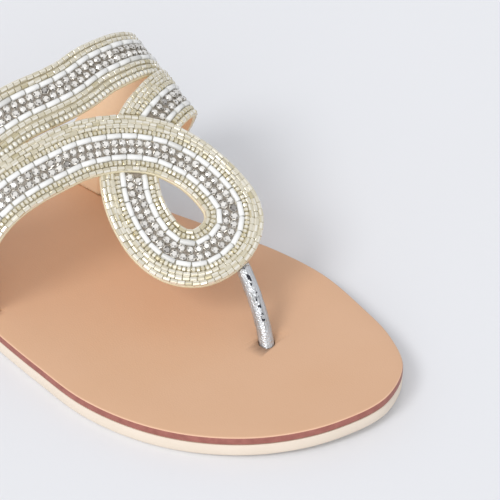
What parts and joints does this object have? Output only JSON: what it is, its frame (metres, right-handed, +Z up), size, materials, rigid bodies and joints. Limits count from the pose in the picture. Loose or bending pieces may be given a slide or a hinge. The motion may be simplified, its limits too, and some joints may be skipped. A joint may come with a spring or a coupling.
{
  "type": "toe-post slipper",
  "caption": "Right women's flat slip-on slipper with a toe post, a beaded ribbon looped over the toes and a beaded instep band.",
  "frame": {"origin": "on the floor under the middle of the whole shoe's box", "axes": "+Z up, +Y from the heel to the toe, +X to the lateral side"},
  "size_m": [0.0868, 0.2548, 0.0645],
  "materials": {
    "outsole": "cream, satin",
    "insole": "tan, smooth grain",
    "upper": "tan lining covered with gold, white and clear beads",
    "toe_post": "silver foil"
  },
  "bodies": {
    "root": {"outsole": "outsole", "insole": "insole", "upper": "upper", "toe_post": "toe_post"}
  },
  "joints": []
}
